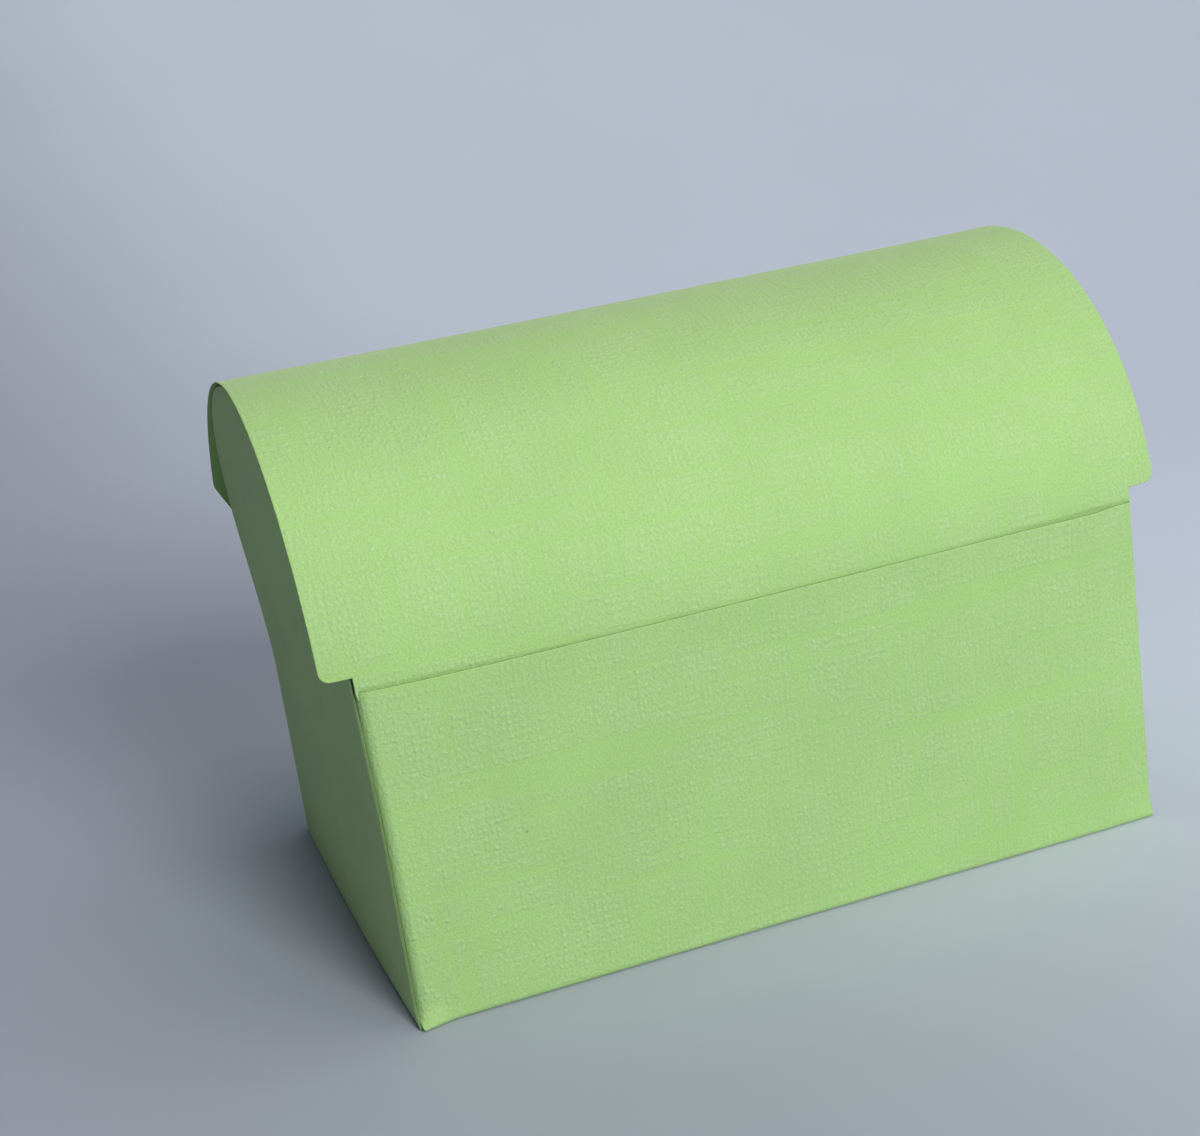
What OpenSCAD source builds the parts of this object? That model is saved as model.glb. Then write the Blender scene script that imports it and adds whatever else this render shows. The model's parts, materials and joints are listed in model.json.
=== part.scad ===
// Treasure chest favor box: one sheet of embossed card, cut, creased, folded and glued.
// The column lid, back, bottom, front folds round the box, and the two end panels fold up
// from the bottom and are glued outside the tabs of the front and back. The lid is a round
// vault over the end arches. It hinges on the back crease and tucks in behind the front.
// Millimetres. X runs along the box, the front faces -Y, Z is up, and the origin is the
// middle of the underside.

/* [Box] */
// Outside length of the box, from end panel to end panel
box_length = 100; // [70:1:140]
// Outside depth of the box, from front panel to back panel
box_depth = 66.5; // [60:0.5:90]
// Height of the front and back panels
panel_height = 43.5; // [30:0.5:70]
// Thickness of the card
card = 0.3; // [0.2:0.05:0.45]
// Outside radius of every crease
crease_radius = 0.7; // [0.6:0.05:1]

/* [End panels] */
// Distance of an end panel's cut edges from the front and back faces
end_setback = 1.1; // [1:0.1:3]
// How far the top of each unglued arch springs outward
arch_flare = 3.2; // [0.5:0.1:3.6]
// Air between an arch and the underside of the lid
arch_clearance = 0.4; // [0.3:0.05:1]

/* [Glue tabs] */
// Width of the tabs that the end panels are glued to
glue_tab_width = 12; // [6:0.5:24]
// How far a glue tab tapers at its top and at its foot
glue_tab_taper = 4; // [1:0.5:12]

/* [Lid] */
// Height of the lid's crown above the front and back panels
crown_rise = 30.3; // [20:0.1:32]
// How far the lid stands past each end panel
lid_overhang = 3.85; // [3.4:0.05:8]
// Gap between the lid's front shoulders and the top edge of the front panel
shoulder_gap = 1.4; // [0.6:0.1:4]
// Radius of the outer corners of the front shoulders
shoulder_radius = 1.3; // [0.5:0.1:3]
// Height of the slanted cut at each rear corner
rear_taper = 8.7; // [4:0.1:16]
// Height of the narrow strip between the hinge crease and the slanted cuts
rear_strip = 2; // [0.5:0.1:6]
// Depth of the tuck flap below the top edge of the front panel
tuck_depth = 12; // [6:0.5:18]
// Radius of the corners of the tuck flap
tuck_radius = 7; // [2:0.5:9]
// Air between the tuck flap and the front panel as the lid swings
tuck_clearance = 0.4; // [0.3:0.05:1]
// Air between the tuck flap and the glue tabs beside it
tuck_side_clearance = 0.2; // [0.15:0.05:2]
// Width of the hinge crease between the back panel and the lid
hinge_gap = 0.1; // [0.05:0.01:0.2]

/* [Hidden] */
// Smoothness of the round faces
$fn = 96;

half_length = box_length / 2;
half_depth = box_depth / 2;

// Outside width of the front and back panels, which lie between the end panels
panel_width = box_length - 2 * card;

// The vault's outer circle passes through the hinge crease. Its diameter stays inside the
// swing that just reaches the front panel's inner edge, so the tuck flap passes that edge.
vault_radius = (box_depth - card - tuck_clearance) / 2;
vault_z = panel_height + crown_rise - vault_radius;
vault_y = half_depth - sqrt(pow(vault_radius, 2) - pow(panel_height - vault_z, 2));

// Each end arch is cut to the same centre, inside the lid's lower face
arch_radius = vault_radius - card - arch_clearance;
arch_top = vault_z + arch_radius;
flare_height = arch_top - panel_height;
flare_radius = (pow(flare_height, 2) + pow(arch_flare, 2)) / (2 * arch_flare);

lid_half = half_length + lid_overhang;
tuck_half = half_length - 2 * card - tuck_side_clearance;
crown_top = panel_height + crown_rise;

// Spare length of a cutting shape past the face that it cuts
cut = 1;

card_colour = "#a8dc84";
base_colour = "#a2d87e";

// Plate outline, centred on X and standing on the X axis, with round lower corners
module round_footed(width, height, radius) {
    translate([-width / 2, radius]) square([width, height - radius]);
    translate([radius - width / 2, 0]) square([width - 2 * radius, height]);
    for (side = [-1, 1])
        translate([side * (width / 2 - radius), radius]) circle(radius);
}

// Section of a strip of card that folds up at both ends of its floor
module folded_strip(width, height) {
    difference() {
        round_footed(width, height, crease_radius);
        translate([0, card])
            round_footed(width - 2 * card, height, crease_radius - card);
    }
}

// Extrude a section drawn in Y and Z along X, centred
module along_x(length) {
    rotate([90, 0, 90]) linear_extrude(length, center = true) children();
}

// Extrude an outline drawn in X and Z from one Y to another
module along_y(from, to) {
    translate([0, to, 0]) rotate([90, 0, 0]) linear_extrude(to - from) children();
}

// Front, bottom and back, folded from one column of the sheet
module panel_column() {
    along_x(panel_width - 2 * crease_radius) folded_strip(box_depth, panel_height);
}

// Wall of one unglued arch, seen along Y, which bends outward above the panels
module flared_wall() {
    intersection() {
        translate([half_length + flare_radius, panel_height]) difference() {
            circle(flare_radius + card, $fn = 360);
            circle(flare_radius, $fn = 360);
        }
        translate([half_length - card, panel_height])
            square([arch_flare + 2 * card, flare_height]);
    }
}

// Bottom and both end panels, folded from one row of the sheet
module end_row() {
    along_y(end_setback - half_depth, half_depth - end_setback) {
        folded_strip(box_length, panel_height);
        flared_wall();
        mirror([1, 0]) flared_wall();
    }
}

// Outline of an end panel, seen along X: straight sides and a round top
module tombstone() {
    translate([-half_depth, 0]) square([box_depth, panel_height]);
    intersection() {
        translate([vault_y, vault_z]) circle(arch_radius);
        translate([-half_depth, panel_height]) square([box_depth, crown_rise]);
    }
}

// Ends of the front panel with their glue tabs, folded back along the upright creases
module glue_tabs() {
    intersection() {
        translate([0, -half_depth, crease_radius])
            linear_extrude(panel_height - crease_radius)
                folded_strip(panel_width, glue_tab_width);
        along_x(box_length) translate([-half_depth, 0]) polygon([
            [0, 0],
            [crease_radius, 0],
            [glue_tab_width, glue_tab_taper],
            [glue_tab_width, panel_height - glue_tab_taper],
            [crease_radius, panel_height],
            [0, panel_height]
        ]);
    }
}

// Open box with round-topped ends
module chest_base() {
    color(base_colour) {
        panel_column();
        intersection() {
            end_row();
            along_x(box_length + 2 * (arch_flare + cut)) tombstone();
        }
        glue_tabs();
        mirror([0, 1, 0]) glue_tabs();
    }
}

// Section of the lid, from the hinge crease over the crown to just past the tuck flap's tip
module vault_section() {
    intersection() {
        translate([vault_y, vault_z]) difference() {
            circle(vault_radius);
            circle(vault_radius - card);
        }
        union() {
            translate([vault_y - cut, panel_height + hinge_gap])
                square([vault_radius + 2 * cut, crown_rise]);
            translate([vault_y - vault_radius - cut, panel_height - tuck_depth - cut])
                square([vault_radius + cut, crown_rise + tuck_depth + 2 * cut]);
        }
    }
}

// Front outline of the lid: overhanging shoulders with the tuck flap between them
module front_outline() {
    translate([0, panel_height + shoulder_gap])
        round_footed(2 * lid_half, crown_rise, shoulder_radius);
    translate([0, panel_height - tuck_depth])
        round_footed(2 * tuck_half, tuck_depth + crown_rise, tuck_radius);
}

// Rear outline of the lid: as wide as the back panel at the hinge, slanting out to the overhang
module rear_outline() {
    slant_foot = panel_height + rear_strip;
    slant_top = slant_foot + rear_taper;
    polygon([
        [-panel_width / 2, panel_height],
        [panel_width / 2, panel_height],
        [panel_width / 2, slant_foot],
        [lid_half, slant_top],
        [lid_half, crown_top + cut],
        [-lid_half, crown_top + cut],
        [-lid_half, slant_top],
        [-panel_width / 2, slant_foot]
    ]);
}

// Vaulted lid with its tuck flap
module chest_lid() {
    color(card_colour) intersection() {
        along_x(2 * lid_half) vault_section();
        union() {
            along_y(-half_depth - cut, vault_y) front_outline();
            along_y(vault_y - cut, half_depth + cut) rear_outline();
        }
    }
}

chest_base();
chest_lid();
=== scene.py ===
import json
import logging
import math
from dataclasses import dataclass, field
from enum import Enum
from typing import Callable

import bmesh
import bpy
from mathutils import Matrix, Vector


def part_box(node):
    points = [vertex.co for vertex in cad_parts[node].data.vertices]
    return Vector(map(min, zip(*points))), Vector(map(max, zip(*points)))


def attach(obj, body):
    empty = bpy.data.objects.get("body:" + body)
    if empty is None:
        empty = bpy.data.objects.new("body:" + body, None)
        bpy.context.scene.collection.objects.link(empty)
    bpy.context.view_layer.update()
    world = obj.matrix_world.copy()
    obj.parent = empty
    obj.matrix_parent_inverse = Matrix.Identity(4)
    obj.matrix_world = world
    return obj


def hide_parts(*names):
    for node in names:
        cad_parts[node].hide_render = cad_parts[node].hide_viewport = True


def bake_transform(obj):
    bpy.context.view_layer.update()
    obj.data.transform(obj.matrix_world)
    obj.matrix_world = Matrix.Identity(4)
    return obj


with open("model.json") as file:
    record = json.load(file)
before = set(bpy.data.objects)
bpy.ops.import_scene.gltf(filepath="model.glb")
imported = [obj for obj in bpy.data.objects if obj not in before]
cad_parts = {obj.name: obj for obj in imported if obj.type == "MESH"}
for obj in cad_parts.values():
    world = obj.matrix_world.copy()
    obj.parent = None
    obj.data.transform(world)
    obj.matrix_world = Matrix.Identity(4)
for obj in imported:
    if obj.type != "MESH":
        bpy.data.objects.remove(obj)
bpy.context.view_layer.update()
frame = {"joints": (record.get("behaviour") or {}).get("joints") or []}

LOG = logging.getLogger("favor_box")

# Sizes of the box are in millimetres and become metres where vertices are written
MM = 0.001

# Name of the UV map that holds each point's place on the flat net, in millimetres
NET = "flat_net"

# Slack of a slice through the flat net, and span that welds folded points, in millimetres
SLICE_SLACK = 1e-4
WELD_SPAN = 0.01

Tree = bpy.types.NodeTree
Socket = bpy.types.NodeSocket
Sockets = dict[str | int, Socket | float | tuple[float, ...]]
Span = tuple[float, float]
Point = tuple[float, float]
Place = tuple[float, float, float]
Fold = Callable[[float, float], Vector]
Swell = Callable[[float, float], float]
Colour = tuple[float, float, float, float]


def ease(share: float) -> float:
    """Return the smooth step of a share, held between 0 and 1."""
    held = min(max(share, 0.0), 1.0)
    return held * held * (3.0 - 2.0 * held)


def spaced(start: float, end: float, pitch: float) -> list[float]:
    """List even steps between two values.

    Args:
        start: the first value
        end: the last value
        pitch: about how far apart the values are

    Returns:
        the values, both ends among them
    """
    count = max(1, round(abs(end - start) / pitch))
    return [start + (end - start) * step / count for step in range(count + 1)]


def quarter_turn(along: float, start: float, radius: float) -> Point:
    """Follow a sheet that runs flat and then turns up through a right angle.

    Args:
        along: distance along the sheet
        start: distance at which the crease begins
        radius: outside radius of the crease

    Returns:
        how far out and how high that point of the sheet lies
    """
    arc = radius * math.pi / 2
    if along <= start:
        return along, 0.0
    if along < start + arc:
        angle = (along - start) / radius
        return start + radius * math.sin(angle), radius * (1.0 - math.cos(angle))
    return start + radius, radius + along - start - arc


def linear(srgb: str) -> Colour:
    """Turn an sRGB hex code into a linear colour.

    Args:
        srgb: the code, with its leading sign

    Returns:
        red, green, blue and full opacity
    """
    parts = [int(srgb[i:i + 2], 16) / 255.0 for i in (1, 3, 5)]
    red, green, blue = (
        p / 12.92 if p <= 0.04045 else ((p + 0.055) / 1.055) ** 2.4 for p in parts
    )
    return red, green, blue, 1.0


def add_node(tree: Tree, kind: str, sockets: Sockets, **settings: object) -> bpy.types.Node:
    """Add a node with its settings, constants and links.

    Args:
        tree: the node tree that takes it
        kind: type name of the node
        sockets: constant or linked output for each input, by name or number
        settings: properties of the node itself

    Returns:
        the new node
    """
    node = tree.nodes.new(kind)
    for key, value in settings.items():
        setattr(node, key, value)
    for key, value in sockets.items():
        if isinstance(value, Socket):
            tree.links.new(value, node.inputs[key])
        else:
            node.inputs[key].default_value = value
    return node


def new_material(name: str) -> tuple[bpy.types.Material, Tree]:
    """Make an empty node material.

    Args:
        name: what the real material is

    Returns:
        the material and its cleared node tree
    """
    material = bpy.data.materials.new(name)
    material.use_nodes = True
    material.node_tree.nodes.clear()
    return material, material.node_tree


class Face(Enum):
    """Material slots of a sheet, in the order that its thickness uses them."""

    OUTSIDE = 0
    INSIDE = 1
    CUT_EDGE = 2


class LampKind(Enum):
    """Kinds of studio light."""

    FAR = "SUN"
    PANEL = "AREA"


@dataclass(frozen=True)
class NetNoise:
    """Uneven spread of one trait over the flat net.

    The grain is along by up millimetres. The trait goes from least to most where the noise
    goes from low to high.
    """

    along: float
    up: float
    detail: float
    low: float
    high: float
    least: float
    most: float

    def spread(self, tree: Tree, net: Socket) -> Socket:
        """Add the trait to a material.

        Args:
            tree: the material's node tree
            net: place on the flat net

        Returns:
            the trait's value at each point
        """
        grain = add_node(
            tree,
            "ShaderNodeMapping",
            {"Vector": net, "Scale": (1.0 / self.along, 1.0 / self.up, 1.0)},
        )
        noise = add_node(
            tree,
            "ShaderNodeTexNoise",
            {"Vector": grain.outputs["Vector"], "Scale": 1.0, "Detail": self.detail},
            noise_dimensions="2D",
        )
        return add_node(
            tree,
            "ShaderNodeMapRange",
            {0: noise.outputs["Fac"], 1: self.low, 2: self.high, 3: self.least, 4: self.most},
            interpolation_type="SMOOTHSTEP",
        ).outputs[0]


@dataclass(frozen=True)
class EmbossedCard:
    """Canvas-embossed card, whose raised knots catch the light between smooth level threads."""

    name: str
    green: str
    pale: str
    deep: str
    fleck: str = "#5B7747"
    bloom: str = "#FFF8E4"

    # Dry surface with a faint bloom of fibres
    roughness: float = 0.8
    gloss: float = 0.35
    sheen: float = 0.25
    sheen_roughness: float = 0.5

    # Knots of the canvas, whose heights are shares of the relief and slopes shares of a knot
    relief: float = 0.056
    knot_along: float = 0.80
    knot_up: float = 1.0
    knot_wander: float = 0.5
    knot_heights: Span = (0.30, 1.10)
    knot_slope: Span = (0.06, 0.44)

    # Heights between which knots are painted pale, partly as real wear and partly as a painted
    # highlight where they catch the light, and how much fibres change the brightness
    wear_and_glint_heights: Span = (0.35, 1.5)
    wear_and_glint: float = 0.65
    fuzz: float = 0.05

    # Dark flecks, one to a chosen cell, whose edge is a share of the cell
    fleck_cell: float = 11.0
    fleck_choice: Span = (0.93, 0.94)
    fleck_edge: Span = (0.010, 0.018)
    fleck_strength: float = 0.55

    # Threads, ribs and fibres, with their grain in millimetres
    long_threads: NetNoise = NetNoise(48.0, 3.0, 1.5, 0.59, 0.64, 1.0, 0.15)
    short_threads: NetNoise = NetNoise(3.0, 26.0, 1.5, 0.64, 0.69, 1.0, 0.2)
    patches: NetNoise = NetNoise(11.0, 8.0, 2.0, 0.35, 0.65, 0.75, 1.15)
    warp: NetNoise = NetNoise(0.5, 6.0, 1.0, 0.3, 0.7, 0.0, 0.40)
    weft: NetNoise = NetNoise(6.0, 0.6, 1.0, 0.3, 0.7, 0.0, 0.25)
    dye: NetNoise = NetNoise(16.0, 16.0, 3.0, 0.3, 0.7, 0.98, 1.02)
    fibre: NetNoise = NetNoise(0.3, 0.3, 2.0, 0.3, 0.7, 0.0, 0.4)

    def material(self) -> bpy.types.Material:
        """Build the card's node material on the flat net.

        Returns:
            the material
        """
        material, tree = new_material(self.name)
        net = add_node(tree, "ShaderNodeUVMap", {}, uv_map=NET).outputs["UV"]
        raised = self._raised(tree, net)
        weave = self._weave(tree, net, raised)
        fibre = self.fibre.spread(tree, net)
        height = add_node(tree, "ShaderNodeMath", {0: weave, 1: fibre}, operation="ADD")
        bump = add_node(
            tree,
            "ShaderNodeBump",
            {"Height": height.outputs[0], "Strength": 1.0, "Distance": self.relief * MM},
        )
        shader = add_node(
            tree,
            "ShaderNodeBsdfPrincipled",
            {
                "Base Color": self._tint(tree, net, raised, weave, fibre),
                "Roughness": self.roughness,
                "Specular IOR Level": self.gloss,
                "Sheen Weight": self.sheen,
                "Sheen Roughness": self.sheen_roughness,
                "Sheen Tint": linear(self.bloom),
                "Normal": bump.outputs["Normal"],
            },
        )
        add_node(tree, "ShaderNodeOutputMaterial", {"Surface": shader.outputs[0]})
        return material

    def _raised(self, tree: Tree, net: Socket) -> Socket:
        """Lay level threads both ways, which leave rectangular patches of raised weave.

        Args:
            tree: the card's node tree
            net: place on the flat net

        Returns:
            how strongly the weave stands up
        """
        raised = self.patches.spread(tree, net)
        for threads in (self.long_threads, self.short_threads):
            level = threads.spread(tree, net)
            raised = add_node(
                tree, "ShaderNodeMath", {0: raised, 1: level}, operation="MULTIPLY"
            ).outputs[0]
        return raised

    def _weave(self, tree: Tree, net: Socket, raised: Socket) -> Socket:
        """Raise an uneven knot at each crossing, between ribs of warp and weft.

        Args:
            tree: the card's node tree
            net: place on the flat net
            raised: how strongly the weave stands up

        Returns:
            height of the weave
        """
        grid = add_node(
            tree,
            "ShaderNodeMapping",
            {"Vector": net, "Scale": (1.0 / self.knot_along, 1.0 / self.knot_up, 1.0)},
        )
        cells = add_node(
            tree,
            "ShaderNodeTexVoronoi",
            {"Vector": grid.outputs["Vector"], "Scale": 1.0, "Randomness": self.knot_wander},
            voronoi_dimensions="2D",
        )
        uneven = add_node(tree, "ShaderNodeSeparateColor", {0: cells.outputs["Color"]})
        least, most = self.knot_heights
        share = add_node(tree, "ShaderNodeMapRange", {0: uneven.outputs[0], 3: least, 4: most})
        core, foot = self.knot_slope
        height = add_node(
            tree,
            "ShaderNodeMapRange",
            {0: cells.outputs["Distance"], 1: core, 2: foot, 3: share.outputs[0], 4: 0.0},
            interpolation_type="SMOOTHSTEP",
        ).outputs[0]
        for ribs in (self.warp, self.weft):
            height = add_node(
                tree, "ShaderNodeMath", {0: height, 1: ribs.spread(tree, net)}, operation="ADD"
            ).outputs[0]
        return add_node(
            tree, "ShaderNodeMath", {0: height, 1: raised}, operation="MULTIPLY"
        ).outputs[0]

    def _tint(
        self, tree: Tree, net: Socket, raised: Socket, weave: Socket, fibre: Socket
    ) -> Socket:
        """Colour the card: raised weave a duller green than the level threads as painted sheen,
        knots paler, partly wear and partly a painted highlight, and a few dark flecks of fibre.

        Args:
            tree: the card's node tree
            net: place on the flat net
            raised: how strongly the weave stands up
            weave: height of the weave
            fibre: height of the loose fibres

        Returns:
            the card's colour
        """
        # Painted sheen: the raised weave takes a duller, greyer green and the level threads a
        # deeper one
        ground = add_node(
            tree,
            "ShaderNodeMix",
            {0: raised, 6: linear(self.deep), 7: linear(self.green)},
            data_type="RGBA",
        )
        # Painted highlight: raised knots are mixed towards the pale colour, partly as wear and
        # partly as the glint of light on their tops
        low, high = self.wear_and_glint_heights
        worn = add_node(tree, "ShaderNodeMapRange", {0: weave, 1: low, 2: high, 4: self.wear_and_glint})
        tint = add_node(
            tree,
            "ShaderNodeMix",
            {0: worn.outputs[0], 6: ground.outputs[2], 7: linear(self.pale)},
            data_type="RGBA",
        )
        fuzz = add_node(
            tree,
            "ShaderNodeMapRange",
            {0: fibre, 2: self.fibre.most, 3: 1.0 - self.fuzz, 4: 1.0 + self.fuzz},
        )
        value = add_node(
            tree,
            "ShaderNodeMath",
            {0: self.dye.spread(tree, net), 1: fuzz.outputs[0]},
            operation="MULTIPLY",
        )
        clouded = add_node(
            tree, "ShaderNodeHueSaturation", {"Color": tint.outputs[2], "Value": value.outputs[0]}
        )

        # One cell in fifteen holds a fleck about 0.3 mm across
        cells = add_node(
            tree,
            "ShaderNodeTexVoronoi",
            {"Vector": net, "Scale": 1.0 / self.fleck_cell},
            voronoi_dimensions="2D",
        )
        rare = add_node(tree, "ShaderNodeSeparateColor", {0: cells.outputs["Color"]})
        low, high = self.fleck_choice
        chosen = add_node(
            tree,
            "ShaderNodeMapRange",
            {0: rare.outputs[0], 1: low, 2: high, 4: self.fleck_strength},
        )
        core, rim = self.fleck_edge
        fleck = add_node(
            tree,
            "ShaderNodeMapRange",
            {0: cells.outputs["Distance"], 1: core, 2: rim, 3: chosen.outputs[0], 4: 0.0},
        )
        return add_node(
            tree,
            "ShaderNodeMix",
            {0: fleck.outputs[0], 6: clouded.outputs["Color"], 7: linear(self.fleck)},
            data_type="RGBA",
        ).outputs[2]


@dataclass(frozen=True)
class CutEdge:
    """Bare cut edge of the card, coloured darker than its faces: partly its rough open fibres and
    partly painted shade of the grooves and gaps beside the edges.
    """

    name: str = "cut edge of card"
    core: str = "#7B9960"
    shade: str = "#6C8851"
    fibre_size: float = 0.8
    fibre_detail: float = 3.0
    roughness: float = 0.92
    gloss: float = 0.2

    def material(self) -> bpy.types.Material:
        """Build the cut edge's node material.

        Returns:
            the material
        """
        material, tree = new_material(self.name)
        place = add_node(tree, "ShaderNodeTexCoord", {}).outputs["Object"]
        fibres = add_node(
            tree,
            "ShaderNodeTexNoise",
            {
                "Vector": place,
                "Scale": 1.0 / (self.fibre_size * MM),
                "Detail": self.fibre_detail,
            },
        ).outputs["Fac"]
        tint = add_node(
            tree,
            "ShaderNodeMix",
            {0: fibres, 6: linear(self.shade), 7: linear(self.core)},
            data_type="RGBA",
        ).outputs[2]
        shader = add_node(
            tree,
            "ShaderNodeBsdfPrincipled",
            {"Base Color": tint, "Roughness": self.roughness, "Specular IOR Level": self.gloss},
        )
        add_node(tree, "ShaderNodeOutputMaterial", {"Surface": shader.outputs[0]})
        return material


@dataclass(frozen=True)
class StudioBoard:
    """Matt board under the box, whose colour goes from a soft grey to a cool white as a painted
    falloff of the light across the floor.
    """

    name: str = "matt studio board with painted light falloff"
    pale: str = "#DBE3F1"
    shade: str = "#ABB2BE"
    slope: Place = (1.0, 0.26, 0.0)
    grade_from: float = -60.0
    grade_to: float = 125.0
    cloud_size: float = 60.0
    cloud: float = 0.03
    roughness: float = 0.8
    gloss: float = 0.2

    def material(self) -> bpy.types.Material:
        """Build the board's node material.

        Returns:
            the material
        """
        material, tree = new_material(self.name)
        place = add_node(tree, "ShaderNodeTexCoord", {}).outputs["Object"]
        # Painted light falloff: the colour goes from the darker shade at the left and front to the
        # pale colour at the right and back
        across = add_node(
            tree, "ShaderNodeVectorMath", {0: place, 1: self.slope}, operation="DOT_PRODUCT"
        )
        grade = add_node(
            tree,
            "ShaderNodeMapRange",
            {0: across.outputs["Value"], 1: self.grade_from * MM, 2: self.grade_to * MM},
            interpolation_type="SMOOTHSTEP",
        )
        tint = add_node(
            tree,
            "ShaderNodeMix",
            {0: grade.outputs[0], 6: linear(self.shade), 7: linear(self.pale)},
            data_type="RGBA",
        )
        cloud = add_node(
            tree, "ShaderNodeTexNoise", {"Vector": place, "Scale": 1.0 / (self.cloud_size * MM)}
        )
        value = add_node(
            tree,
            "ShaderNodeMapRange",
            {0: cloud.outputs["Fac"], 3: 1.0 - self.cloud, 4: 1.0 + self.cloud},
        )
        clouded = add_node(
            tree, "ShaderNodeHueSaturation", {"Color": tint.outputs[2], "Value": value.outputs[0]}
        )
        shader = add_node(
            tree,
            "ShaderNodeBsdfPrincipled",
            {
                "Base Color": clouded.outputs["Color"],
                "Roughness": self.roughness,
                "Specular IOR Level": self.gloss,
            },
        )
        add_node(tree, "ShaderNodeOutputMaterial", {"Surface": shader.outputs[0]})
        return material


@dataclass(frozen=True)
class ChestSizes:
    """Sizes of the folded sheet in millimetres, read from the frame where it holds them."""

    half_depth: float
    panel_height: float
    vault_radius: float
    vault_z: float
    lid_half: float
    tuck_tip: float
    card: float = 0.3
    crease: float = 0.7
    lid_overhang: float = 3.85
    glue_film: float = 0.02
    crease_zone: float = 1.2

    @classmethod
    def from_frame(cls) -> "ChestSizes":
        """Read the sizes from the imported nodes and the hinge.

        Returns:
            the sizes
        """
        _, hinge_y, hinge_z = frame["joints"][0]["pos_m"]
        low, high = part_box("chest_lid")

        # Circle through the hinge crease that reaches the lid's front and its crown
        reach, rise = (hinge_y - low.y) / MM, (high.z - hinge_z) / MM
        radius = reach + rise - math.sqrt(2.0 * reach * rise)
        return cls(
            half_depth=hinge_y / MM,
            panel_height=hinge_z / MM,
            vault_radius=radius,
            vault_z=high.z / MM - radius,
            lid_half=high.x / MM,
            tuck_tip=low.z / MM,
        )

    @property
    def vault_y(self) -> float:
        """Depth of the centre of the circle that the lid is rolled to, through the hinge crease."""
        rise = self.panel_height - self.vault_z
        return self.half_depth - math.sqrt(self.vault_radius ** 2 - rise ** 2)

    @property
    def half_length(self) -> float:
        """Half the outside length over the end panels."""
        return self.lid_half - self.lid_overhang

    @property
    def panel_half(self) -> float:
        """Half the outside width of the front and back, between the end panels."""
        return self.half_length - self.card - self.glue_film

    @property
    def crease_arc(self) -> float:
        """Length of card that a crease takes up."""
        return self.crease * math.pi / 2

    def up_sheet(self, half_floor: float, height: float) -> float:
        """Return how far along the sheet, from the floor's middle, a height of a wall lies."""
        return half_floor - 2 * self.crease + self.crease_arc + height


@dataclass
class FlatField:
    """One field of the flat net: its cut outline and the lines that slice it, in millimetres."""

    outline: list[Point]
    across: list[float]
    along: list[float]
    rounded: dict[int, float] = field(default_factory=dict)
    corner_steps: int = 7

    def cut(self) -> bmesh.types.BMesh:
        """Cut the outline, round its corners and slice it.

        Returns:
            the flat field
        """
        flat = bmesh.new()
        corners = [flat.verts.new((u, v, 0.0)) for u, v in self.outline]
        flat.faces.new(corners)
        for index, radius in self.rounded.items():
            bmesh.ops.bevel(
                flat,
                geom=[corners[index]],
                offset=radius,
                offset_type="OFFSET",
                segments=self.corner_steps,
                profile=0.5,
                affect="VERTICES",
                material=-1,
            )
        slices = ((Vector((1, 0, 0)), self.across), (Vector((0, 1, 0)), self.along))
        for normal, places in slices:
            for place in places:
                bmesh.ops.bisect_plane(
                    flat,
                    geom=flat.verts[:] + flat.edges[:] + flat.faces[:],
                    dist=SLICE_SLACK,
                    plane_co=normal * place,
                    plane_no=normal,
                )
        return flat


@dataclass
class FoldedSheet:
    """A part of the one sheet, folded from flat fields and given the card's thickness."""

    sizes: ChestSizes
    materials: list[bpy.types.Material]
    rim_round: float = 0.13
    rim_steps: int = 2

    @staticmethod
    def fold_in(
        sheet: bmesh.types.BMesh, flat: FlatField, fold: Fold, net: Callable[[float, float], Point]
    ) -> None:
        """Cut a field, keep its place on the net, fold it and join it to the sheet.

        Args:
            sheet: the sheet that takes the field
            flat: the flat field
            fold: where each flat point lies once folded
            net: where each flat point lies on the whole net
        """
        cut = flat.cut()
        layer = cut.loops.layers.uv.new(NET)
        for face in cut.faces:
            for loop in face.loops:
                loop[layer].uv = net(loop.vert.co.x, loop.vert.co.y)
        for vert in cut.verts:
            vert.co = fold(vert.co.x, vert.co.y) * MM
        mesh = bpy.data.meshes.new("field")
        cut.to_mesh(mesh)
        cut.free()
        sheet.from_mesh(mesh)
        bpy.data.meshes.remove(mesh)

    def thicken(self, sheet: bmesh.types.BMesh, name: str) -> bpy.types.Object:
        """Weld the folded fields and give them thickness and finishes.

        Args:
            sheet: the folded fields
            name: name of the piece

        Returns:
            the piece
        """
        bmesh.ops.remove_doubles(sheet, verts=sheet.verts, dist=WELD_SPAN * MM)
        for face in sheet.faces:
            face.smooth = True
            face.material_index = Face.OUTSIDE.value

        # Cut edges are worn round, except at the bottom corners, where several of them meet
        worn = sheet.edges.layers.float.new("bevel_weight_edge")
        corner_rise = 2.0 * self.sizes.crease * MM
        for edge in sheet.edges:
            edge.smooth = not edge.is_boundary
            clear = all(vert.co.z > corner_rise for vert in edge.verts)
            edge[worn] = 1.0 if edge.is_boundary and clear else 0.0
        mesh = bpy.data.meshes.new(name)
        sheet.to_mesh(mesh)
        sheet.free()
        for material in self.materials:
            mesh.materials.append(material)
        piece = bpy.data.objects.new(name, mesh)
        bpy.context.scene.collection.objects.link(piece)
        card = piece.modifiers.new("card thickness", "SOLIDIFY")
        card.thickness = self.sizes.card * MM
        card.offset = -1.0
        card.use_even_offset = True
        card.material_offset = Face.INSIDE.value
        card.material_offset_rim = Face.CUT_EDGE.value
        rim = piece.modifiers.new("worn rims", "BEVEL")
        rim.width = self.rim_round * MM
        rim.segments = self.rim_steps
        rim.limit_method = "WEIGHT"
        rim.use_clamp_overlap = False
        return piece


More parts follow.
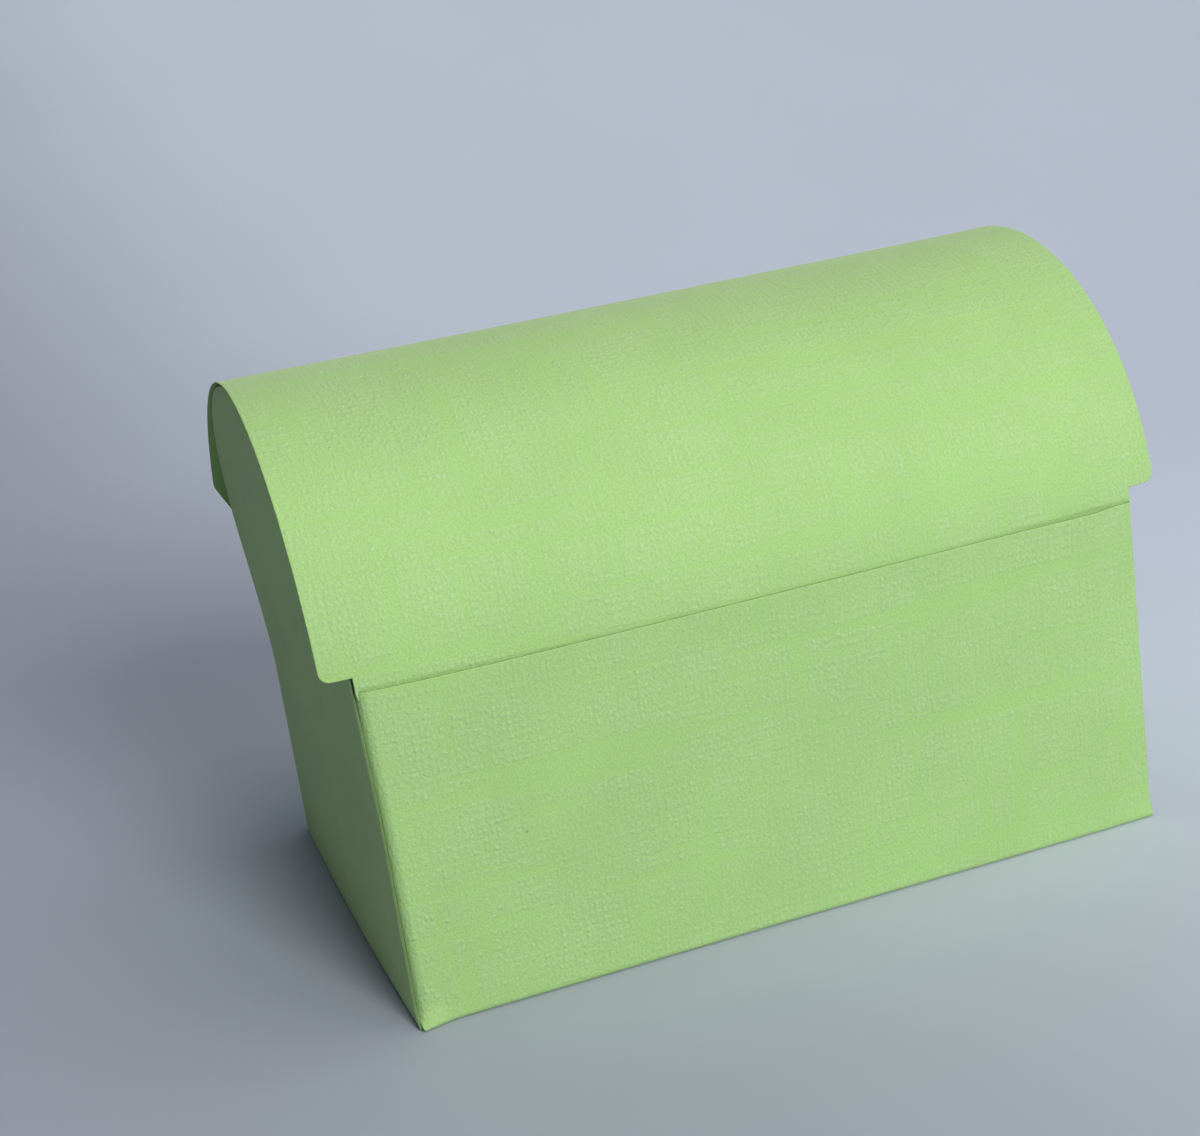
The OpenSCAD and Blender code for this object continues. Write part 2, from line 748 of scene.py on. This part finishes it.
@dataclass
class ChestBase(FoldedSheet):
    """Open box: bottom, front, back, four glue tabs and two round-topped end panels."""

    # Cut sides of the ends and cut top of the front
    left_setback: float = 0.85
    right_setback: float = 1.7
    front_drop: float = 0.3

    # Ends glued a little out of true, the left one only above its stand's foot
    left_stand: float = 0.33
    right_stand: float = 0.37
    stand_foot: float = 24.0
    stand_run: float = 16.0

    # Upright creases, sharper at the right
    upright_round: float = 1.35
    right_round: float = 0.8

    # Crushed tips of the bottom corners, and the height over which an end widens to them
    left_tip: float = 0.9
    right_tip: float = 0.3
    tip_run: float = 5.0
    tip_rise: float = 3.0
    right_rise: float = 3.5
    foot_round: float = 0.45

    # Glue tabs, which hold the ends up to the height where an arch springs free
    tab_width: float = 12.0
    tab_taper: float = 4.0
    tab_foot: float = 1.6
    tab_hold: float = 3.2
    hold_from: float = 18.0
    end_grip: int = 6

    # Swell of the front over the tucked lid, of its foot and of the back
    front_bulge: float = 1.1
    swell_power: float = 1.6
    left_fade: int = 5
    right_fade: float = 43.5
    right_ease: float = 0.25
    ease_from: float = 10.0
    ease_run: float = 18.0
    foot_ease: float = 0.4
    foot_from: float = -10.0
    foot_run: float = 50.0
    foot_fade: int = 24
    floor_hold: float = 0.95
    back_bulge: float = 0.25

    # Bowed feet of the ends, and unglued arches that spring outward
    end_bow: float = 0.45
    arch_gap: float = 0.55
    arch_drop: float = 3.0
    arch_flare: float = 3.6
    flare_foot: float = 33.5
    flare_lean: float = 6.5

    # Spacing of the slices, with the arch's step in degrees
    pitch: float = 2.0
    tip_pitch: float = 0.6
    wall_foot_pitch: float = 0.5
    end_foot_pitch: float = 0.4
    arch_pitch: float = 1.5
    arch_step: float = 3.0
    tab_slice: float = 4.0
    upright_steps: int = 8
    crease_steps: int = 6

    @property
    def end_fold(self) -> float:
        """Distance from the middle at which the bottom starts to turn up into an end panel."""
        return self.sizes.half_length - self.sizes.crease

    @property
    def fold_line(self) -> float:
        """Distance from the middle at which the bottom starts to turn up into a long wall."""
        return self.sizes.half_depth - self.sizes.crease

    def wall(self, top: float) -> FlatField:
        """Lay out half the bottom with one long wall and its two glue tabs.

        Args:
            top: height of the wall's top edge

        Returns:
            the flat field
        """
        s = self.sizes
        upright = s.panel_half - self.upright_round
        upright_arc = self.upright_round * math.pi / 2
        tab_start = upright + upright_arc
        tab_end = tab_start + self.tab_width - self.upright_round
        half_floor = s.half_depth
        foot = s.up_sheet(half_floor, s.crease)
        corner = [
            (self.end_fold, 0.0),
            (self.end_fold, self.fold_line),
            (s.panel_half, foot),
            (tab_start, s.up_sheet(half_floor, self.tab_foot)),
            (tab_end, s.up_sheet(half_floor, self.tab_foot + self.tab_taper)),
            (tab_end, s.up_sheet(half_floor, top - self.tab_taper)),
            (tab_start, s.up_sheet(half_floor, top)),
        ]
        outline = corner + [(-u, v) for u, v in reversed(corner)]
        creases = spaced(upright, tab_start, upright_arc / self.upright_steps)
        across = spaced(-upright, upright, self.pitch) + creases + [-u for u in creases]
        across += [tab_start + self.tab_slice, -tab_start - self.tab_slice]
        tip = spaced(upright - self.tip_run, upright, self.tip_pitch)[:-1]
        across += tip + [-u for u in tip]
        along = spaced(0.0, self.fold_line, self.pitch)[1:-1]
        crease_end = self.fold_line + s.crease_arc
        along += spaced(self.fold_line, crease_end, s.crease_arc / self.crease_steps)
        along += spaced(foot, s.up_sheet(half_floor, self.tip_rise), self.wall_foot_pitch)[1:]
        along += spaced(foot, s.up_sheet(half_floor, top), self.pitch)[1:-1]
        last = len(outline) - 1
        rounded = {2: self.foot_round, last - 2: self.foot_round}
        return FlatField(outline, across, along, rounded)

    def bow(self, y: float) -> float:
        """Return how far an end panel's foot bows out at a depth."""
        return self.end_bow * max(0.0, 1.0 - (y / self.fold_line) ** 2)

    def tip(self, left: bool, x: float, y: float, height: float) -> float:
        """Work out how far the crushed tip of a bottom corner stands out.

        Args:
            left: whether the corner is at the left end
            x: distance from the middle along the box
            y: distance from the middle across the box
            height: height above the underside

        Returns:
            how far the point moves out of the long wall
        """
        near_end = ease(1.0 + (x - self.sizes.panel_half) / self.tip_run)
        near_wall = ease(1.0 + (y - self.sizes.half_depth) / self.tip_run)
        reach = self.left_tip if left else self.right_tip
        return reach * near_end * near_wall * (1.0 - ease(height / self.tip_rise))

    def stand(self, left: bool, height: float) -> float:
        """Return how far the left or right end stands out of its true place at a height."""
        rise = ease((height - self.stand_foot) / self.stand_run)
        return self.left_stand * rise if left else self.right_stand

    def fold_front(self, u: float, along: float) -> Vector:
        """Place a flat point of the front field, with u running to the right end."""
        return self._fold_wall(u, along, u < 0.0, self._front_swell)

    def fold_back(self, u: float, along: float) -> Vector:
        """Place a flat point of the back field, with u running to the left end."""
        point = self._fold_wall(u, along, u > 0.0, self._back_swell)
        return Vector((-point.x, -point.y, point.z))

    def _front_swell(self, x: float, height: float) -> float:
        """Work out how far the tucked lid presses the front panel out.

        Args:
            x: flat distance from the middle of the panel, towards the right end
            height: height above the underside

        Returns:
            how far the point moves out
        """
        upright = self.sizes.panel_half - self.upright_round
        share = min(1.0, abs(x) / upright)
        bulge = self.front_bulge - self.right_ease * ease((x - self.ease_from) / self.ease_run)
        if x < 0.0:
            bulge *= 1.0 - share ** self.left_fade
        else:
            bulge *= 1.0 - ease((x - self.right_fade) / (upright - self.right_fade))
        foot = self.foot_ease * ease((x - self.foot_from) / self.foot_run)
        foot *= 1.0 - share ** self.foot_fade
        rise = height / self.sizes.panel_height
        return bulge * rise ** self.swell_power + foot * (1.0 - rise) ** 2

    def _back_swell(self, x: float, height: float) -> float:
        """Work out how far the back panel swells out.

        Args:
            x: flat distance from the middle of the panel
            height: height above the underside

        Returns:
            how far the point moves out
        """
        share = min(1.0, abs(x) / (self.sizes.panel_half - self.upright_round))
        wave = math.sin(math.pi * height / self.sizes.panel_height)
        return self.back_bulge * (1.0 - share ** 2) * wave

    def _fold_wall(self, u: float, along: float, left: bool, swell: Swell) -> Vector:
        """Place a flat point of a long wall's field, as for the front.

        Args:
            u: flat distance from the middle of the wall
            along: flat distance from the middle of the bottom
            left: whether the point is nearer the box's left end
            swell: how far the wall swells out at a place and height

        Returns:
            the folded point
        """
        s = self.sizes
        out, height = quarter_turn(along, self.fold_line, s.crease)
        turn = self.upright_round if left else self.right_round
        width, back = quarter_turn(abs(u), s.panel_half - turn, turn)
        tip = self.tip(left, abs(u), out, height)

        # The upright crease opens out where it runs into the corner at the foot
        grip = ease(height / self.tab_foot)
        width = abs(u) + (width - abs(u)) * grip
        near_end = min(1.0, abs(u) / self.end_fold) ** self.end_grip
        spread = self.stand(left, height) * near_end
        if height < s.crease:
            spread += self.bow(out) * near_end * (1.0 - height / s.crease)
        x = math.copysign(width + spread, u)
        swollen = swell(u, height) * ease(2.0 * out / s.half_depth - self.floor_hold)
        return Vector((x, -out + back * grip - swollen - tip, height))

    def end(self, setback: float, foot_rise: float) -> FlatField:
        """Lay out one end panel from its bottom crease to its round top.

        Args:
            setback: distance of its cut sides from the long walls' faces
            foot_rise: height over which its foot widens to the bottom's corners

        Returns:
            the flat field
        """
        s = self.sizes
        side = s.half_depth - setback
        radius = s.vault_radius - self.arch_gap
        first = math.acos((side - s.vault_y) / radius)
        arc = [
            (
                s.vault_y + radius * math.cos(angle),
                s.up_sheet(s.half_length, s.vault_z + radius * math.sin(angle)),
            )
            for angle in spaced(first, math.pi, math.radians(self.arch_step))
        ]
        foot = s.up_sheet(s.half_length, foot_rise)
        outline = [(-self.fold_line, self.end_fold), (self.fold_line, self.end_fold), (side, foot)]
        arch_foot = s.up_sheet(s.half_length, s.vault_z - self.arch_drop)
        outline += arc + [(-side, arch_foot), (-side, foot)]
        across = spaced(0.0, self.fold_line, self.pitch)[:-1]
        across += [-y for y in across[1:]]
        crease_end = self.end_fold + s.crease_arc
        along = spaced(self.end_fold, crease_end, s.crease_arc / self.crease_steps)[1:]
        tip = s.up_sheet(s.half_length, self.tip_rise)
        along += spaced(s.up_sheet(s.half_length, s.crease), tip, self.end_foot_pitch)[1:]
        top = s.up_sheet(s.half_length, s.vault_z + radius)
        along += spaced(tip, top, self.arch_pitch)[1:-1]
        return FlatField(outline, across, along)

    def fold_right(self, y: float, along: float) -> Vector:
        """Place a flat point of the right end panel, with y running to the back."""
        return self._fold_end(y, along, False)

    def fold_left(self, y: float, along: float) -> Vector:
        """Place a flat point of the left end panel, with y running to the back."""
        point = self._fold_end(y, along, True)
        return Vector((-point.x, point.y, point.z))

    def _fold_end(self, y: float, along: float, left: bool) -> Vector:
        """Place a flat point of an end panel, whose unglued arch springs outward.

        Args:
            y: distance behind the middle of the box
            along: flat distance from the middle of the bottom
            left: whether it is the left end

        Returns:
            the folded point
        """
        s = self.sizes
        out, height = quarter_turn(along, self.end_fold, s.crease)
        foot = self.flare_foot - self.flare_lean * y / s.half_depth
        foot += self.tab_hold * ease((-y - self.hold_from) / self.tab_width)
        top = s.vault_z + s.vault_radius - self.arch_gap
        flare = (self.arch_flare - self.stand(left, top)) * ease((height - foot) / (top - foot))
        bowed = self.bow(y) * (1.0 - ease(height / s.panel_height))
        tip = math.copysign(self.tip(left, out, abs(y), height), y)
        return Vector((out + flare + bowed + self.stand(left, height), y + tip, height))

    def build(self) -> bpy.types.Object:
        """Fold the open box and set it on its body.

        Returns:
            the piece
        """
        sheet = bmesh.new()
        top = self.sizes.panel_height
        self.fold_in(sheet, self.wall(top - self.front_drop), self.fold_front, lambda u, v: (u, -v))
        self.fold_in(
            sheet, self.wall(top - self.sizes.crease_zone), self.fold_back, lambda u, v: (-u, v)
        )
        right = self.end(self.right_setback, self.right_rise)
        self.fold_in(sheet, right, self.fold_right, lambda y, v: (v, y))
        mirrored = self.end(self.left_setback, self.tip_rise)
        mirrored.outline.reverse()
        self.fold_in(sheet, mirrored, self.fold_left, lambda y, v: (-v, y))
        piece = self.thicken(sheet, "folded_base")
        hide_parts("chest_base")
        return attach(piece, "base")


@dataclass
class ChestLid(FoldedSheet):
    """Vaulted lid with overhanging shoulders, slanted rear cuts and the tuck flap."""

    # Front shoulders and slanted rear cuts
    shoulder_gap: float = 1.4
    shoulder_radius: float = 1.3
    rear_strip: float = 2.0
    rear_taper: float = 8.7
    rear_radius: float = 0.6

    # Tuck flap, which steps in behind the top edge of the front panel
    tuck_gap: float = 0.27
    tuck_reach: float = 0.4
    tuck_straight: float = 0.6
    tuck_taper: float = 3.0
    tuck_radius: float = 7.0
    tuck_step: float = 0.12
    step_rise: float = 0.2
    step_drop: float = 0.6

    # Front pressed forward, from an angle of the vault in radians, and a crown that sags
    front_press: float = 1.85
    press_from: float = 1.3
    press_run: float = 1.6
    press_fade: int = 3
    crown_sag: float = 0.35
    right_droop: float = 0.3

    # Spacing of the slices
    pitch: float = 2.0
    overhang_pitch: float = 0.8
    roll_pitch: float = 1.4
    fine_pitch: float = 0.15

    @property
    def hinge_angle(self) -> float:
        """Angle of the hinge crease on the vault's circle."""
        s = self.sizes
        return math.atan2(s.panel_height - s.vault_z, s.half_depth - s.vault_y)

    def roll(self, angle: float) -> float:
        """Return the length of card from the hinge crease to an angle of the vault."""
        return self.sizes.vault_radius * (angle - self.hinge_angle)

    def rear_at(self, height: float) -> float:
        """Return the length of card from the hinge crease to a height at the rear."""
        return self.roll(math.asin((height - self.sizes.vault_z) / self.sizes.vault_radius))

    def front_at(self, height: float) -> float:
        """Return the length of card from the hinge crease to a height at the front."""
        rise = math.asin((height - self.sizes.vault_z) / self.sizes.vault_radius)
        return self.roll(math.pi - rise)

    @property
    def step_run(self) -> Span:
        """Lengths of card between which the lid steps in behind the front panel."""
        top = self.sizes.panel_height
        return self.front_at(top + self.step_rise), self.front_at(top - self.step_drop)

    def vault(self) -> FlatField:
        """Lay out the lid from just under the hinge crease to the tuck flap's tip.

        Returns:
            the flat field
        """
        s = self.sizes
        slant_foot = s.panel_height + self.rear_strip
        tuck_half = s.half_length - self.tuck_gap + self.tuck_reach
        tip_half = tuck_half - self.tuck_reach - self.tuck_taper
        shoulder = self.front_at(s.panel_height + self.shoulder_gap)
        tip = self.front_at(s.tuck_tip)
        corner = [
            (s.panel_half, -s.crease_zone),
            (s.panel_half, self.rear_at(slant_foot)),
            (s.lid_half, self.rear_at(slant_foot + self.rear_taper)),
            (s.lid_half, shoulder),
            (tuck_half, shoulder),
            (tuck_half, self.front_at(s.panel_height - self.tuck_straight)),
            (tip_half, tip),
        ]
        outline = corner + [(-u, v) for u, v in reversed(corner)]
        last = len(outline) - 1
        radii = {2: self.rear_radius, 3: self.shoulder_radius, 6: self.tuck_radius}
        rounded = {**radii, **{last - index: radius for index, radius in radii.items()}}
        across = spaced(-tuck_half, tuck_half, self.pitch)
        across += spaced(tuck_half, s.lid_half, self.overhang_pitch)[1:-1]
        across += spaced(-s.lid_half, -tuck_half, self.overhang_pitch)[1:-1]
        step_start, step_end = self.step_run
        along = spaced(-s.crease_zone, s.crease_zone, self.fine_pitch)[1:]
        along += spaced(s.crease_zone, shoulder, self.roll_pitch)[1:]
        along += spaced(step_start, step_end, self.fine_pitch)
        along += spaced(step_end, tip, self.roll_pitch)[1:-1]
        return FlatField(outline, across, along, rounded)

    def fold(self, u: float, along: float) -> Vector:
        """Place a flat point of the lid.

        Args:
            u: flat distance from the middle of the box, towards its left end
            along: flat distance from the hinge crease, up and over the crown

        Returns:
            the folded point
        """
        s = self.sizes
        if along <= 0.0:
            return Vector((-u, s.half_depth, s.panel_height + along))
        angle = self.hinge_angle + along / s.vault_radius
        across = u / s.lid_half
        press = self.front_press * (1.0 - abs(across) ** self.press_fade)
        press *= ease((angle - self.press_from) / self.press_run)
        droop = self.crown_sag * (1.0 - across ** 2) + self.right_droop * ease(-across)
        sag = droop * max(0.0, math.sin(angle)) ** 2
        step_start, step_end = self.step_run
        step = self.tuck_step * ease((along - step_start) / (step_end - step_start))
        y = s.vault_y + s.vault_radius * math.cos(angle) - press + step
        return Vector((-u, y, s.vault_z + s.vault_radius * math.sin(angle) - sag))

    def build(self) -> bpy.types.Object:
        """Roll the lid, give it the card's thickness and bake its place into its vertices.

        Returns:
            the piece
        """
        s = self.sizes
        back_top = s.up_sheet(s.half_depth, s.panel_height)
        sheet = bmesh.new()
        self.fold_in(sheet, self.vault(), self.fold, lambda u, v: (-u, back_top + v))
        piece = self.thicken(sheet, "vaulted_lid")
        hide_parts("chest_lid")
        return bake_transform(piece)


@dataclass(frozen=True)
class Lamp:
    """One soft light of the studio, with its place in metres."""

    name: str
    kind: LampKind
    place: Place
    strength: float
    spread: float
    colour: str

    def build(self) -> bpy.types.Object:
        """Hang the light and aim it at the box.

        Returns:
            the light
        """
        data = bpy.data.lights.new(self.name, self.kind.value)
        data.energy = self.strength
        data.color = linear(self.colour)[:3]
        if self.kind is LampKind.FAR:
            data.angle = math.radians(self.spread)
        else:
            data.shape = "DISK"
            data.size = self.spread
        lamp = bpy.data.objects.new(self.name, data)
        lamp.location = self.place
        lamp.rotation_euler = Vector(self.place).to_track_quat("Z", "Y").to_euler()
        bpy.context.scene.collection.objects.link(lamp)
        return lamp


@dataclass
class Studio:
    """Pale floor, soft light and the camera at the photograph's angle.

    The camera's place and the gap under the box are in millimetres, and the rest is in metres.
    """

    camera_place: Place = (-87.35, -263.02, 128.11)
    azimuth: float = 16.411
    elevation: float = -17.831
    roll: float = -8.349
    lens: float = 65.592
    near_clip: float = 0.01
    floor_gap: float = 0.02
    floor_half: float = 5.0
    cove_start: float = 0.13
    cove_radius: float = 0.52
    cove_steps: int = 24
    sky: str = "#EEF2F8"
    sky_strength: float = 0.03
    surround_strength: float = 0.6
    lamps: tuple[Lamp, ...] = (
        Lamp("window light", LampKind.PANEL, (0.11, -0.80, 0.45), 4.75, 0.3, "#FFFFFF"),
        Lamp("low daylight", LampKind.FAR, (0.12, -1.0, 0.40), 0.28, 18.0, "#FFFFFF"),
        Lamp("overhead panel", LampKind.PANEL, (0.22, -0.25, 1.0), 4.05, 0.9, "#FFFFFF"),
    )

    @staticmethod
    def _sweep(
        sheet: bmesh.types.BMesh, edge: bmesh.types.BMEdge, step: Place
    ) -> bmesh.types.BMEdge:
        """Extrude an edge by a step.

        Args:
            sheet: the mesh that holds the edge
            edge: the edge
            step: how far it goes, in metres

        Returns:
            the edge at the far side
        """
        grown = bmesh.ops.extrude_edge_only(sheet, edges=[edge])["geom"]
        moved = [part for part in grown if isinstance(part, bmesh.types.BMVert)]
        bmesh.ops.translate(sheet, verts=moved, vec=step)
        edges = [part for part in grown if isinstance(part, bmesh.types.BMEdge)]
        return next(part for part in edges if all(vert in moved for vert in part.verts))

    def build_floor(self, board: bpy.types.Material) -> bpy.types.Object:
        """Lay the floor just under the box, with a cove that rises far behind it.

        Args:
            board: finish of the floor

        Returns:
            the floor
        """
        cove = bmesh.new()
        level = -self.floor_gap * MM
        ends = (-self.floor_half, self.floor_half)
        front = cove.edges.new([cove.verts.new((x, -self.floor_half, level)) for x in ends])
        edge = self._sweep(cove, front, (0.0, self.floor_half + self.cove_start, 0.0))
        turned = bmesh.ops.spin(
            cove,
            geom=[edge],
            cent=(0.0, self.cove_start, level + self.cove_radius),
            axis=(1.0, 0.0, 0.0),
            angle=math.pi / 2,
            steps=self.cove_steps,
        )["geom_last"]
        edge = next(part for part in turned if isinstance(part, bmesh.types.BMEdge))
        self._sweep(cove, edge, (0.0, 0.0, self.floor_half))
        for face in cove.faces:
            face.smooth = True
        mesh = bpy.data.meshes.new("studio_floor")
        cove.to_mesh(mesh)
        cove.free()
        mesh.materials.append(board)
        floor = bpy.data.objects.new("studio_floor", mesh)
        bpy.context.scene.collection.objects.link(floor)
        return floor

    def build_camera(self) -> bpy.types.Object:
        """Set the camera where the photograph was taken from.

        Returns:
            the camera
        """
        data = bpy.data.cameras.new("photo camera")
        data.lens = self.lens
        data.clip_start = self.near_clip
        camera = bpy.data.objects.new("photo camera", data)
        turn = (
            Matrix.Rotation(math.radians(-self.azimuth), 4, "Z")
            @ Matrix.Rotation(math.radians(90.0 + self.elevation), 4, "X")
            @ Matrix.Rotation(math.radians(self.roll), 4, "Z")
        )
        camera.matrix_world = Matrix.Translation(Vector(self.camera_place) * MM) @ turn
        bpy.context.scene.collection.objects.link(camera)
        bpy.context.scene.camera = camera
        return camera

    def light(self) -> None:
        """Set the sky and hang the lamps."""
        world = bpy.data.worlds.new("studio sky")
        world.use_nodes = True
        tree = world.node_tree
        tree.nodes.clear()

        # The surroundings look pale from the sides where no cove stands, and add no light
        path = add_node(tree, "ShaderNodeLightPath", {})
        seen = path.outputs["Is Camera Ray"]
        for ray in ("Is Glossy Ray", "Is Transmission Ray"):
            seen = add_node(
                tree, "ShaderNodeMath", {0: seen, 1: path.outputs[ray]}, operation="ADD"
            ).outputs[0]
        strength = add_node(
            tree, "ShaderNodeMapRange", {0: seen, 3: self.sky_strength, 4: self.surround_strength}
        )
        sky = add_node(
            tree,
            "ShaderNodeBackground",
            {"Color": linear(self.sky), "Strength": strength.outputs[0]},
        )
        add_node(tree, "ShaderNodeOutputWorld", {"Surface": sky.outputs[0]})
        bpy.context.scene.world = world
        for lamp in self.lamps:
            lamp.build()


def main() -> None:
    """Build the studio and the two pieces of the folded sheet in order."""
    logging.basicConfig(level=logging.INFO)
    bpy.context.scene.view_settings.view_transform = "Standard"
    studio = Studio()
    studio.build_camera()
    studio.light()

    # The matt board takes the shadow softly, shows no reflection of the box and carries a painted
    # falloff of the light, darker at the left and front
    studio.build_floor(StudioBoard().material())
    sizes = ChestSizes.from_frame()
    finishes = [
        # Raised knots catch the light, so that lit faces look dry and finely grained
        EmbossedCard("embossed green card", "#AAD285", "#B5D89B", "#A9D481").material(),
        # The inside is painted a darker, duller green as painted shade, with a shallow emboss that
        # makes it look flat
        EmbossedCard("inner face of card", "#98C077", "#9FC583", "#95C071", relief=0.03).material(),
        # Each cut edge is coloured darker, partly for its open fibres and partly as painted shade,
        # so that it draws a fine darker line
        CutEdge().material(),
    ]
    for part in (ChestBase(sizes, finishes), ChestLid(sizes, finishes)):
        piece = part.build()
        LOG.info("%s built from %d flat faces", piece.name, len(piece.data.polygons))


if __name__ == "__main__":
    main()
